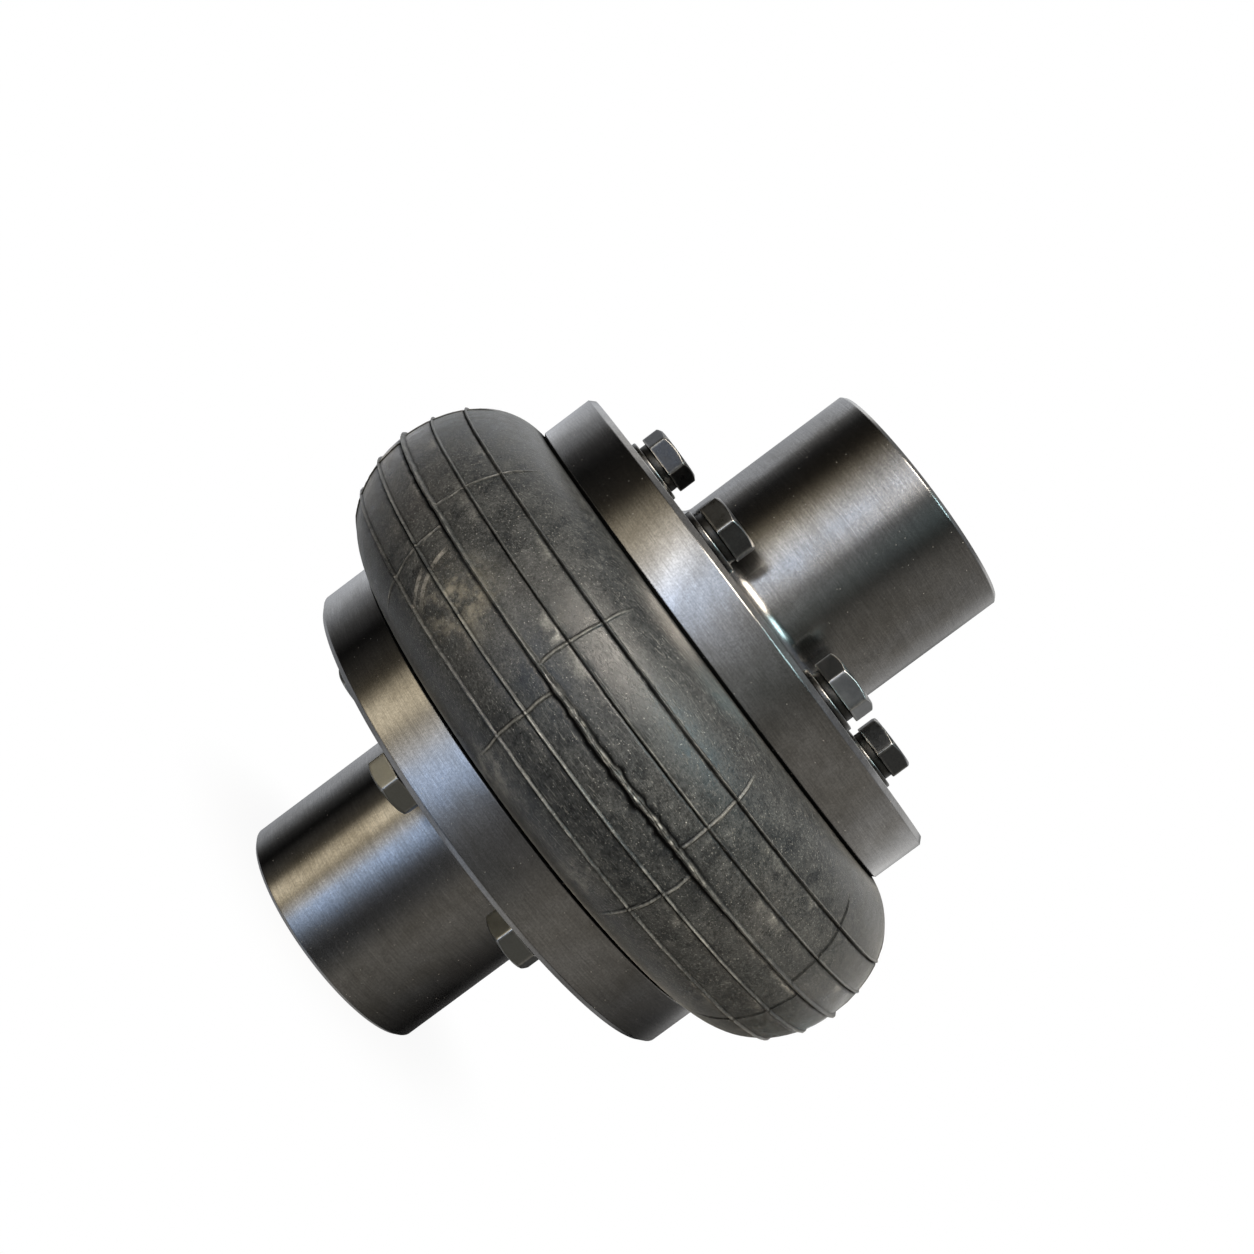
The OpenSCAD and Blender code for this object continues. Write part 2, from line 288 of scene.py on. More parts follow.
def ridge_relief(angle, height):
    """Height of the five ridges over the surface, how pale their tops are and the painted shade at their
    feet, the last two from 0 to 1.

    Each ridge is a bar with steep flanks that wavers in width, place and height, with a groove along its
    lower foot and a fine one along the upper foot, both painted dark as shade, and a broken pale burr below
    it. Where the middle one is torn it is a thick twisted cord: creases run along it and are painted dark
    as shade, short painted glints lie between them, and it throws up a second lip."""
    relief = np.zeros(np.broadcast(angle, height).shape)
    pale = np.zeros_like(relief)
    painted_shade = np.zeros_like(relief)
    torn = torn_share(angle)
    for k in range(-2, 3):
        seed = 10 * k + 40
        loose = torn if k == 0 else 0.08
        full = MAIN_RIDGE_H if k == 0 else SIDE_RIDGE_H
        tall = full * (0.88 + (0.06 + 0.12 * loose) * ripple(angle, (40, 220), seed))
        wide = RIDGE_HALF_W[k + 2] + 0.42 * loose
        wide = wide * (1 + (0.1 + 0.14 * loose) * ripple(angle, (60, 260), seed + 1))
        wander = 0.06 * ripple(angle, (5, 60), seed + 2) + 0.24 * loose * ripple(angle, (12, 90), seed + 3)
        across = (height - k * RIDGE_PITCH + CROWN_SHIFT - wander) / wide
        bar = tall * np.exp(-np.abs(across) ** 2.6)
        low_foot = np.exp(-(np.abs(across + LOW_FEET[k + 2]) / (0.8 + 0.1 * loose)) ** (2 + 1.5 * loose))
        high_foot = np.exp(-((across - 1.6 + 0.25 * loose) / (0.5 + 0.15 * loose)) ** 2)
        handled = 0.35 + 0.65 * np.exp(-((np.degrees(angle) % 360 - HANDLED_DEG) / 26) ** 2)
        patchy = handled * (0.5 + 0.7 * ripple(angle, (6, 160), seed + 8)).clip(0, 1)
        streak = (across - 0.35) / (0.5 + 0.15 * loose)
        pale = np.maximum(pale, PALE_TOPS[k + 2] * patchy * np.exp(-streak ** 2))
        burr = np.exp(-((across + 3.1) / 0.5) ** 2) * (ripple(angle, (8, 120), seed + 9) - 0.1).clip(0, 1)
        pale = np.maximum(pale, 0.7 * burr * (1 - torn))
        # Painted shade along the feet of the ridge, patchy along its length
        share = (0.85 + 0.4 * loose + 0.3 * ripple(angle, (4, 90), seed + 4)).clip(0.5, 1)
        feet = np.maximum(low_foot, (UPPER_FEET[k + 2] + 0.75 * loose) * high_foot) * share
        if k == 0:
            lip = (across - 1.1 - 0.4 * ripple(angle, (60, 200), seed + 7)) / 0.35
            bar += 0.4 * torn * (0.2 + ripple(angle, (50, 300), seed + 5)).clip(0, 1) * np.exp(-lip ** 2)
            # The cord's creases are grooves painted dark as shade, and beside them lie short painted glints
            for j, rest in enumerate((-0.45, 0.3)):
                sway = 0.35 * ripple(angle, (20, 90), seed + 20 + j)
                crease = np.exp(-((across - rest - sway) / 0.15) ** 2)
                bar -= 0.3 * torn * crease
                feet = np.maximum(feet, 0.9 * torn * crease)
                shine = (1.5 * ripple(angle, (60, 320), seed + 30 + j)).clip(0, 1)
                sway = 0.3 * ripple(angle, (20, 90), seed + 24 + j)
                glint = shine * np.exp(-((across - rest - sway) / 0.3) ** 2)
                pale = np.maximum(pale, torn * (0.2 * np.exp(-across ** 4) + 1.2 * glint))
        relief += bar - 0.36 * low_foot - (0.06 + 0.14 * loose) * high_foot
        painted_shade = np.maximum(painted_shade, feet)
    return relief.clip(-0.4, MAIN_RIDGE_H), pale, painted_shade


def line_relief(angle, height):
    """Height of the mould lines across each half, how pale they are and the painted shade on them: thin
    bars from the middle ridge outwards that fade out, strong on some lines and faint on others. Painted
    shade runs along both sides of each line, and the lines in one direction are darkened all across."""
    relief = np.zeros(np.broadcast(angle, height).shape)
    pale = np.zeros_like(relief)
    painted_shade = np.zeros_like(relief)
    rng = np.random.default_rng(5)
    for side, sign in SIDES.items():
        above = (height + CROWN_SHIFT) * sign
        reach = smooth_step(above, -0.5, 1) * (1 - smooth_step(above, MOULD_REACH - 4, MOULD_REACH))
        for middle in mould_angles(side):
            bend = 0.35 * ripple(height * 0.1 + middle, (2, 9), 3)
            across = (((angle - middle + np.pi) % (2 * np.pi) - np.pi) * CROWN_R - bend) / MOULD_LINE_HALF_W
            share = rng.uniform(0.6, 1) * reach
            filled = math.exp(-((math.degrees(middle) % 360 - DARK_LINES_DEG) / 14) ** 2)
            # Painted shade along both sides of every line; the lines in the dark direction are darkened all
            # across
            beside = np.exp(-((np.abs(across + 0.4) - 1.6) / 0.6) ** 2)
            relief += MOULD_LINE_H * share * np.exp(-np.abs(across) ** 2.4)
            pale = np.maximum(pale, 0.6 * (1 - filled) * share * np.exp(-across ** 2))
            painted_shade = np.maximum(painted_shade, share * np.maximum(beside, filled * np.exp(-(across / 2.3) ** 4)))
    return relief, pale, painted_shade


def tyre(material):
    """Split tyre: its section is carried round the axis from one face of the split to the other. The
    outside is lifted along its own normal by the ridges, the mould lines and a shallow unevenness."""
    radius, height = tyre_outside()
    slope = np.stack([np.gradient(radius, height), np.ones_like(height)], -1)
    normal = np.stack([slope[:, 1], -slope[:, 0]], -1) / np.linalg.norm(slope, axis=1, keepdims=True)
    inner_r, inner_z = tyre_inside()
    angle = tyre_angles()[:, None]
    ridges, tops, feet = ridge_relief(angle, height[None])
    lines, line_tops, line_feet = line_relief(angle, height[None])
    inside = FACE_IN - np.abs(height)
    uneven = UNEVENNESS * ripple(angle + height[None] * 0.02, (4, 34), 7) * smooth_step(inside, 0.5, 6)
    raised = np.where(ridges > lines, ridges, lines + ridges.clip(None, 0))
    lift = (raised + uneven) * smooth_step(inside, 0, 1.5)
    r = np.hstack([radius + lift * normal[:, 0], np.broadcast_to(inner_r, (angle.size, inner_r.size))])
    z = np.hstack([height + lift * normal[:, 1], np.broadcast_to(inner_z, (angle.size, inner_z.size))])
    points = np.stack([r * np.cos(angle), r * np.sin(angle), z], -1)
    none = np.zeros((angle.size, inner_r.size))
    # Pale tops: rubbed wear and dust, with the painted glints of the torn cord
    crest = np.maximum(tops, line_tops)
    # Painted shade along the seams where the tyre meets the flanges
    seam = 1 - smooth_step(inside, 0.05, 0.5)
    foot = np.maximum(np.maximum(feet, line_feet), seam)
    values = {"crest": np.hstack([crest, none]), "foot": np.hstack([foot, none])}
    return surface("tyre_rubber", points, material, ends=True, values=values)


def hexagon_r(angle):
    """Distance from the middle of a hexagon to its edge: a soft minimum of the flats, whose corners lie at
    0, 60 and so on degrees, and of a circle that rounds the corners."""
    edge = HEAD_AF / 2 / np.cos(angle % (np.pi / 3) - np.pi / 6)
    corner = HEAD_AF / 2 / math.cos(np.pi / 6) - CORNER_CUT
    both = np.exp(-CORNER_SHARPNESS * edge) + np.exp(-CORNER_SHARPNESS * corner)
    return -np.log(both) / CORNER_SHARPNESS


def screw(name, middle, turn_deg, sign, material):
    """Hexagon screw: rings of points from the tip up the thread, out under the head, up its flats, in over
    the 30 degree chamfer and to the middle of the top. The thread's radius follows height less angle."""
    sector = np.radians(30 * np.sin(np.linspace(-np.pi / 2, np.pi / 2, 13)[:-1]) + 30)
    angle = (np.arange(6)[:, None] * np.pi / 3 + sector).ravel()
    corner = hexagon_r(angle)
    tip, seat, top = SCREW_LOW[2], SPRING_TOP, SCREW_HIGH[2]
    brow = top - (corner - HEAD_FACE_R) * math.tan(math.radians(HEAD_CHAMFER_DEG))
    flat = np.ones_like(angle)
    rings = [(0 * flat, tip * flat, 0), (TIP_FACE_R * flat, tip * flat, 0)]
    thread_z = np.linspace(tip + TIP_L, seat - SHANK_L - RUNOUT_L, THREAD_POINTS)
    for z in thread_z:
        phase = (z / THREAD_PITCH - angle / (2 * np.pi)) % 1
        rings.append((THREAD_D / 2 - THREAD_DEPTH * np.abs(2 * phase - 1), z * flat, 0))
    rings += [(THREAD_D / 2 * flat, (seat - SHANK_L) * flat, 0), (THREAD_D / 2 * flat, seat * flat, 0)]
    rings += [(corner - 0.3, seat * flat, 0.3), (corner - 0.08, (seat + 0.08) * flat, 1)]
    rings.append((corner, (seat + 0.3) * flat, 0.5))
    for share in (0.12, 0.5, 0.88):
        rings.append((corner, seat + (brow - seat) * share, 0.1))
    rings += [(corner, brow - 0.18, 0.2), (corner - 0.05, brow - 0.02, 1), (corner - 0.2, brow + 0.1, 0.3)]
    for share in (0.86, 0.5, 0.14):
        rings.append((HEAD_FACE_R + (corner - HEAD_FACE_R) * share, top - (top - brow) * share, 0.15))
    rings.append((HEAD_FACE_R * flat, (top - 0.03) * flat, 0.8))
    rings.append(((HEAD_FACE_R - 0.25) * flat, top * flat, 0.3))
    rings += [(HEAD_FACE_R * 0.6 * flat, (top - 0.04) * flat, 0), (0 * flat, (top - 0.05) * flat, 0)]
    r = np.array([ring[0] for ring in rings])
    z = np.array([ring[1] for ring in rings])
    edge = np.array([np.broadcast_to(ring[2], angle.shape) for ring in rings])
    at_corner = np.exp(-((angle + np.pi / 6) % (np.pi / 3) - np.pi / 6) ** 2 / 0.03 ** 2)
    on_flat = (z > seat + 0.2) & (z < top - 0.1)
    edge = np.maximum(edge, at_corner * on_flat * 0.9)
    direction = angle + math.radians(turn_deg)
    points = np.stack([middle[0] + r * np.cos(direction), middle[1] + r * np.sin(direction), sign * z], -1)
    return surface(name, points, material, values={"edge": edge})


def rounded_ring(inner, outer, low, high, soft):
    """Outline of a ring's section, a rectangle whose corners are rounded by soft, as radius and height."""
    corners = ((outer, low, -90), (outer, high, 0), (inner, high, 90), (inner, low, 180))
    arcs = []
    for r, z, start in corners:
        a = np.radians(start + np.linspace(0, 90, 4))
        middle = (r - soft if r == outer else r + soft, z + soft if z == low else z - soft)
        arcs.append(np.stack([middle[0] + soft * np.cos(a), middle[1] + soft * np.sin(a)], -1))
    return np.concatenate(arcs)


def washer(name, middle, sign, material):
    """Plain washer: its rounded section carried once round the screw."""
    section = rounded_ring(WASHER_BORE_R, WASHER_R, FACE_OUT, WASHER_TOP, WASHER_ROUNDING)
    angle = np.linspace(0, 2 * np.pi, WASHER_POINTS + 1)[:-1, None]
    r = np.broadcast_to(section[:, 0], (WASHER_POINTS, len(section)))
    z = np.broadcast_to(section[:, 1], r.shape)
    points = np.stack([middle[0] + r * np.cos(angle), middle[1] + r * np.sin(angle), sign * z], -1)
    rim = smooth_step(r, WASHER_R - 0.5, WASHER_R - 0.1) * smooth_step(z, FACE_OUT + 0.8, WASHER_TOP - 0.1)
    return surface(name, points, material, wrap_rows=True, values={"edge": rim})


def spring_washer(name, middle, turn_deg, sign, material):
    """Spring washer pressed flat: its section carried from one end of the slot to the other, where both
    ends slant with height."""
    section = rounded_ring(SPRING_BORE_R, SPRING_R, WASHER_TOP, SPRING_TOP, SPRING_ROUNDING)
    half_gap = SLOT_W / 2 / SPRING_R
    share = np.linspace(0, 1, SPRING_POINTS)[:, None]
    r = np.broadcast_to(section[:, 0], (SPRING_POINTS, len(section)))
    z = np.broadcast_to(section[:, 1], r.shape)
    slant = (z - (WASHER_TOP + SPRING_TOP) / 2) * math.tan(math.radians(SLOT_SLANT_DEG)) / SPRING_R
    angle = math.radians(turn_deg) + half_gap + slant + share * (2 * np.pi - 2 * half_gap)
    points = np.stack([middle[0] + r * np.cos(angle), middle[1] + r * np.sin(angle), sign * z], -1)
    rim = smooth_step(r, SPRING_R - 0.4, SPRING_R)
    return surface(name, points, material, ends=True, values={"edge": rim})


# Materials

def linear(hex_colour):
    """Linear colour of an sRGB hex value."""
    share = np.array([int(hex_colour[i:i + 2], 16) for i in (1, 3, 5)]) / 255
    value = np.where(share <= 0.04045, share / 12.92, ((share + 0.055) / 1.055) ** 2.4)
    return (*value.tolist(), 1.0)


def add(tree, kind, inputs=None, stops=None, **settings):
    """Adds a node, applies its settings, and fills its inputs with values or links them to sockets."""
    node = tree.nodes.new(kind)
    for key, value in settings.items():
        setattr(node, key, value)
    for key, value in (inputs or {}).items():
        if isinstance(value, bpy.types.NodeSocket):
            tree.links.new(value, node.inputs[key])
        else:
            node.inputs[key].default_value = value
    for i, (place, value) in enumerate(stops or ()):
        element = node.color_ramp.elements[i] if i < 2 else node.color_ramp.elements.new(place)
        element.position = place
        element.color = value if isinstance(value, tuple) else (value, value, value, 1)
    return node


def new_material(name):
    """Empty material and its node tree."""
    material = bpy.data.materials.new(name)
    material.use_nodes = True
    material.node_tree.nodes.clear()
    return material, material.node_tree


def turned_steel():
    """Carbon steel, turned on a lathe and left with a thin film of old oil. The eye gets fine lines that
    run round the axis, long soft bands of light, brown-grey clouds of oil, and bright edges that are partly
    rubbed metal and partly a painted highlight."""
    material, tree = new_material("turned oiled steel")
    place = add(tree, "ShaderNodeTexCoord").outputs["Object"]
    flat = add(tree, "ShaderNodeVectorMath", {0: place, 1: (1, 1, 0)}, operation="MULTIPLY").outputs[0]
    radius = add(tree, "ShaderNodeVectorMath", {0: flat}, operation="LENGTH").outputs["Value"]
    split = add(tree, "ShaderNodeSeparateXYZ", {0: place})
    along = add(tree, "ShaderNodeMath", {0: split.outputs["Z"], 1: radius}, operation="ADD").outputs[0]
    # Feed lines, 0.3 mm apart and some 8 mm long
    line_place = add(tree, "ShaderNodeCombineXYZ", {
        "X": add(tree, "ShaderNodeMath", {
            0: split.outputs["X"], 1: 1 / 8 / MM}, operation="MULTIPLY").outputs[0],
        "Y": add(tree, "ShaderNodeMath", {
            0: split.outputs["Y"], 1: 1 / 8 / MM}, operation="MULTIPLY").outputs[0],
        "Z": add(tree, "ShaderNodeMath", {0: along, 1: 1 / 0.3 / MM}, operation="MULTIPLY").outputs[0],
    }).outputs[0]
    lines = add(tree, "ShaderNodeTexNoise", {
        "Vector": line_place, "Scale": 1, "Detail": 4, "Roughness": 0.7})
    # Broader passes of the tool, 2.5 mm apart
    passes = add(tree, "ShaderNodeTexNoise", {
        "Vector": line_place, "Scale": 0.12, "Detail": 3, "Roughness": 0.55})
    clouds = add(tree, "ShaderNodeTexNoise", {
        "Vector": place, "Scale": 1 / 20 / MM, "Detail": 7, "Roughness": 0.62, "Distortion": 0.5})
    grain = add(tree, "ShaderNodeTexNoise", {
        "Vector": place, "Scale": 1 / 0.6 / MM, "Detail": 3, "Roughness": 0.7})
    # At most one grain of dust in each cell of 1.5 mm, and none in many of the cells
    dust = add(tree, "ShaderNodeTexVoronoi", {"Vector": place, "Scale": 1 / 1.5 / MM, "Randomness": 1})
    near = add(tree, "ShaderNodeMapRange", {
        "Value": dust.outputs["Distance"], "From Min": 0.07, "From Max": 0.14,
        "To Min": 1, "To Max": 0}).outputs[0]
    kept = add(tree, "ShaderNodeMapRange", {
        "Value": dust.outputs["Color"], "From Min": 0.6, "From Max": 0.8,
        "To Min": 0, "To Max": 0.45}).outputs[0]
    speck = add(tree, "ShaderNodeMath", {0: near, 1: kept}, operation="MULTIPLY").outputs[0]
    # Edges, found from a rounded normal, are brightened: partly rubbed metal, partly a painted highlight
    rounded = add(tree, "ShaderNodeBevel", {"Radius": 0.5 * MM}, samples=6).outputs[0]
    true_normal = add(tree, "ShaderNodeNewGeometry").outputs["Normal"]
    turn = add(tree, "ShaderNodeVectorMath", {
        0: rounded, 1: true_normal}, operation="DOT_PRODUCT").outputs["Value"]
    edge = add(tree, "ShaderNodeMapRange", {
        "Value": turn, "From Min": 0.985, "From Max": 0.93, "To Min": 0, "To Max": 0.8}).outputs[0]
    film = add(tree, "ShaderNodeValToRGB", {"Fac": clouds.outputs["Fac"]}, stops=(
        (0.3, linear("#85827D")), (0.72, linear("#A5A4A3")), (0.5, linear("#979592"))))
    streak = add(tree, "ShaderNodeMapRange", {
        "Value": lines.outputs["Fac"], "From Min": 0.3, "From Max": 0.7,
        "To Min": 0.78, "To Max": 1.19}).outputs[0]
    speckle = add(tree, "ShaderNodeMapRange", {
        "Value": grain.outputs["Fac"], "From Min": 0.3, "From Max": 0.7,
        "To Min": 0.78, "To Max": 1.18}).outputs[0]
    broad = add(tree, "ShaderNodeMapRange", {
        "Value": passes.outputs["Fac"], "From Min": 0.3, "From Max": 0.7,
        "To Min": 0.95, "To Max": 1.04}).outputs[0]
    fine = add(tree, "ShaderNodeMath", {0: streak, 1: speckle}, operation="MULTIPLY").outputs[0]
    tone = add(tree, "ShaderNodeMath", {0: fine, 1: broad}, operation="MULTIPLY").outputs[0]
    toned = add(tree, "ShaderNodeVectorMath", {
        0: film.outputs["Color"], "Scale": tone}, operation="SCALE").outputs[0]
    rubbed_and_highlit = add(tree, "ShaderNodeMix", {
        0: edge, 6: toned, 7: linear("#B8B7B3")}, data_type="RGBA").outputs[2]
    dusty = add(tree, "ShaderNodeMix", {
        0: speck, 6: rubbed_and_highlit, 7: linear("#A29E94")}, data_type="RGBA").outputs[2]
    bare = add(tree, "ShaderNodeMath", {0: 1.0, 1: speck}, operation="SUBTRACT").outputs[0]
    rough = add(tree, "ShaderNodeMapRange", {
        "Value": clouds.outputs["Fac"], "From Min": 0.3, "From Max": 0.7,
        "To Min": 0.25, "To Max": 0.19}).outputs[0]
    relief = add(tree, "ShaderNodeMix", {
        0: 0.35, 2: lines.outputs["Fac"], 3: grain.outputs["Fac"]}).outputs[0]
    bump = add(tree, "ShaderNodeBump", {
        "Strength": 0.2, "Distance": 0.006 * MM, "Height": relief, "Normal": rounded})
    tangent = add(tree, "ShaderNodeTangent", direction_type="RADIAL", axis="Z").outputs[0]
    steel = add(tree, "ShaderNodeBsdfPrincipled", {
        "Base Color": dusty, "Metallic": bare, "Roughness": rough, "Normal": bump.outputs[0],
        "Anisotropic": 0.7, "Anisotropic Rotation": 0.25, "Tangent": tangent})
    add(tree, "ShaderNodeOutputMaterial", {"Surface": steel.outputs[0]})
    return material


def blackened_steel(name, flat_colour, edge_colour, rough):
    """Steel with an oxide or oil film, new or faded. The eye gets a satin between near-black and worn grey,
    clouded between its two flat colours, and brighter metal where corners and edges have rubbed."""
    material, tree = new_material(name)
    place = add(tree, "ShaderNodeTexCoord").outputs["Object"]
    edge = add(tree, "ShaderNodeAttribute", attribute_name="edge").outputs["Fac"]
    bloom = add(tree, "ShaderNodeTexNoise", {
        "Vector": place, "Scale": 1 / 3 / MM, "Detail": 6, "Roughness": 0.65})
    grain = add(tree, "ShaderNodeTexNoise", {
        "Vector": place, "Scale": 1 / 0.6 / MM, "Detail": 3, "Roughness": 0.6})
    body = add(tree, "ShaderNodeMix", {
        0: bloom.outputs["Fac"], 6: linear(flat_colour[0]), 7: linear(flat_colour[1])},
        data_type="RGBA").outputs[2]
    worn = add(tree, "ShaderNodeMapRange", {
        "Value": grain.outputs["Fac"], "From Min": 0.3, "From Max": 0.6,
        "To Min": 0.5, "To Max": 1}).outputs[0]
    rub = add(tree, "ShaderNodeMath", {0: edge, 1: worn}, operation="MULTIPLY", use_clamp=True).outputs[0]
    colour = add(tree, "ShaderNodeMix", {
        0: rub, 6: body, 7: linear(edge_colour)}, data_type="RGBA").outputs[2]
    dull = add(tree, "ShaderNodeMapRange", {
        "Value": bloom.outputs["Fac"], "From Min": 0.3, "From Max": 0.7, "To Min": rough - 0.05,
        "To Max": rough + 0.08}).outputs[0]
    bump = add(tree, "ShaderNodeBump", {
        "Strength": 0.3, "Distance": 0.05 * MM, "Height": grain.outputs["Fac"]})
    steel = add(tree, "ShaderNodeBsdfPrincipled", {
        "Base Color": colour, "Metallic": 1.0, "Roughness": dull, "Normal": bump.outputs[0]})
    add(tree, "ShaderNodeOutputMaterial", {"Surface": steel.outputs[0]})
    return material


# Marks on the rubber: middle in millimetres, radius, colour and the share that it covers
SCUFFS = (
    ((-52, -91, -9), 17, "#8A8374", 0.65),
    ((-30, -98, 10), 12, "#77736A", 0.2),
    ((-12, -92, -26), 11, "#8D8A82", 0.6),
    ((22, -93, -25), 9, "#807D75", 0.5),
    ((60, 84, 12), 22, "#857D6E", 0.5),
    ((-88, 48, -12), 16, "#7C776C", 0.45),
)

# Pale arcs that something round has rubbed: middle and radius of the circle, middle and reach of the arc
ARCS = (((-46, -99.5, -1.5), 24.2, (-62, -84, -11), 9), ((-46, -99.5, -1.5), 27, (-60.5, -82, -16), 6))


def moulded_rubber():
    """Natural rubber with carbon black, moulded in a steel mould and dusty from storage. The eye gets a
    satin charcoal with brown-grey clouds of dust, painted black shade at the feet of the ridges, in their
    creases, beside the mould lines and along the seams at the flanges, paler rubbed tops with painted
    glints, and pale specks, scratches and scuffs."""
    material, tree = new_material("moulded dusty rubber")
    place = add(tree, "ShaderNodeTexCoord").outputs["Object"]
    crest = add(tree, "ShaderNodeAttribute", attribute_name="crest").outputs["Fac"]
    foot = add(tree, "ShaderNodeAttribute", attribute_name="foot").outputs["Fac"]
    clouds = add(tree, "ShaderNodeTexNoise", {
        "Vector": place, "Scale": 1 / 34 / MM, "Detail": 7, "Roughness": 0.62, "Distortion": 0.7})
    dust = add(tree, "ShaderNodeTexNoise", {
        "Vector": place, "Scale": 1 / 5 / MM, "Detail": 9, "Roughness": 0.78})
    grain = add(tree, "ShaderNodeTexNoise", {
        "Vector": place, "Scale": 1 / 0.7 / MM, "Detail": 3, "Roughness": 0.75})
    body = add(tree, "ShaderNodeValToRGB", {"Fac": clouds.outputs["Fac"]}, stops=(
        (0.32, linear("#181A1C")), (0.7, linear("#302F2E")), (0.5, linear("#232424"))))
    dusty = add(tree, "ShaderNodeMapRange", {
        "Value": dust.outputs["Fac"], "From Min": 0.42, "From Max": 0.74,
        "To Min": 0, "To Max": 0.68}).outputs[0]
    colour = add(tree, "ShaderNodeMix", {0: dusty, 6: body.outputs["Color"], 7: linear("#4D4D4B")},
                 data_type="RGBA").outputs[2]
    grainy = add(tree, "ShaderNodeMapRange", {
        "Value": grain.outputs["Fac"], "From Min": 0.3, "From Max": 0.7,
        "To Min": 0.3, "To Max": 1.9}).outputs[0]
    colour = add(tree, "ShaderNodeVectorMath", {0: colour, "Scale": grainy}, operation="SCALE").outputs[0]
    # Scuffs: a round patch each, broken up by a noise
    rub = add(tree, "ShaderNodeTexNoise", {
        "Vector": place, "Scale": 1 / 6 / MM, "Detail": 9, "Roughness": 0.8})
    broken = add(tree, "ShaderNodeMapRange", {
        "Value": rub.outputs["Fac"], "From Min": 0.45, "From Max": 0.62}).outputs[0]
    for middle, size, tint, share in SCUFFS:
        away = add(tree, "ShaderNodeVectorMath", {0: place, 1: [x * MM for x in middle]},
                   operation="DISTANCE").outputs["Value"]
        patch = add(tree, "ShaderNodeMapRange", {
            "Value": away, "From Min": size * 0.2 * MM, "From Max": size * MM,
            "To Min": share, "To Max": 0},
            interpolation_type="SMOOTHSTEP").outputs[0]
        cover = add(tree, "ShaderNodeMath", {0: patch, 1: broken}, operation="MULTIPLY").outputs[0]
        colour = add(tree, "ShaderNodeMix", {
            0: cover, 6: colour, 7: linear(tint)}, data_type="RGBA").outputs[2]
    # Arcs: a thin stretch of a sphere's outline each, broken up by the same noise
    for centre, size, middle, reach in ARCS:
        away = add(tree, "ShaderNodeVectorMath", {0: place, 1: [x * MM for x in centre]},
                   operation="DISTANCE").outputs["Value"]
        off = add(tree, "ShaderNodeMath", {
            0: away, 1: size * MM, 2: 0.7 * MM}, operation="COMPARE").outputs[0]
        along = add(tree, "ShaderNodeVectorMath", {0: place, 1: [x * MM for x in middle]},
                    operation="DISTANCE").outputs["Value"]
        near = add(tree, "ShaderNodeMapRange", {
            "Value": along, "From Min": 0.6 * reach * MM, "From Max": reach * MM,
            "To Min": 0.7, "To Max": 0}).outputs[0]
        line = add(tree, "ShaderNodeMath", {0: off, 1: near}, operation="MULTIPLY").outputs[0]
        cover = add(tree, "ShaderNodeMath", {0: line, 1: broken}, operation="MULTIPLY").outputs[0]
        colour = add(tree, "ShaderNodeMix", {
            0: cover, 6: colour, 7: linear("#98938A")}, data_type="RGBA").outputs[2]
    # Scratches in three directions: the crests of noises drawn out to some 4 mm
    scored = 0.0
    for turn, seed in (((0.5, 0.2, 0.7), 3.0), ((1.1, 0.6, 2.2), 11.0), ((2.3, 1.4, 0.3), 19.0)):
        drawn = add(tree, "ShaderNodeMapping", {
            "Vector": place, "Location": (seed, seed, seed), "Rotation": turn, "Scale": (240, 3200, 2600)})
        streaks = add(tree, "ShaderNodeTexNoise", {
            "Vector": drawn.outputs[0], "Scale": 1, "Detail": 2, "Roughness": 0.5, "Distortion": 1.2})
        scratch = add(tree, "ShaderNodeMapRange", {
            "Value": streaks.outputs["Fac"], "From Min": 0.63, "From Max": 0.74,
            "To Min": 0, "To Max": 0.4}).outputs[0]
        scored = add(tree, "ShaderNodeMath", {0: scratch, 1: scored}, operation="ADD").outputs[0]
        colour = add(tree, "ShaderNodeMix", {
            0: scratch, 6: colour, 7: linear("#85837C")}, data_type="RGBA").outputs[2]
    # Pale specks: one in some of the cells of a coarse, a middling and a fine grid
    grids = ((4.6, 0.02, 0.05, 0.9), (2.1, 0.035, 0.085, 0.75), (0.9, 0.09, 0.2, 0.6))
    for cell, low, high, share in grids:
        specks = add(tree, "ShaderNodeTexVoronoi", {
            "Vector": place, "Scale": 1 / cell / MM, "Randomness": 1})
        near = add(tree, "ShaderNodeMapRange", {
            "Value": specks.outputs["Distance"], "From Min": low, "From Max": high, "To Min": share,
            "To Max": 0}).outputs[0]
        kept = add(tree, "ShaderNodeMapRange", {
            "Value": specks.outputs["Color"], "From Min": 0.45, "From Max": 0.7}).outputs[0]
        speck = add(tree, "ShaderNodeMath", {0: near, 1: kept}, operation="MULTIPLY").outputs[0]
        colour = add(tree, "ShaderNodeMix", {
            0: speck, 6: colour, 7: linear("#A5A39C")}, data_type="RGBA").outputs[2]
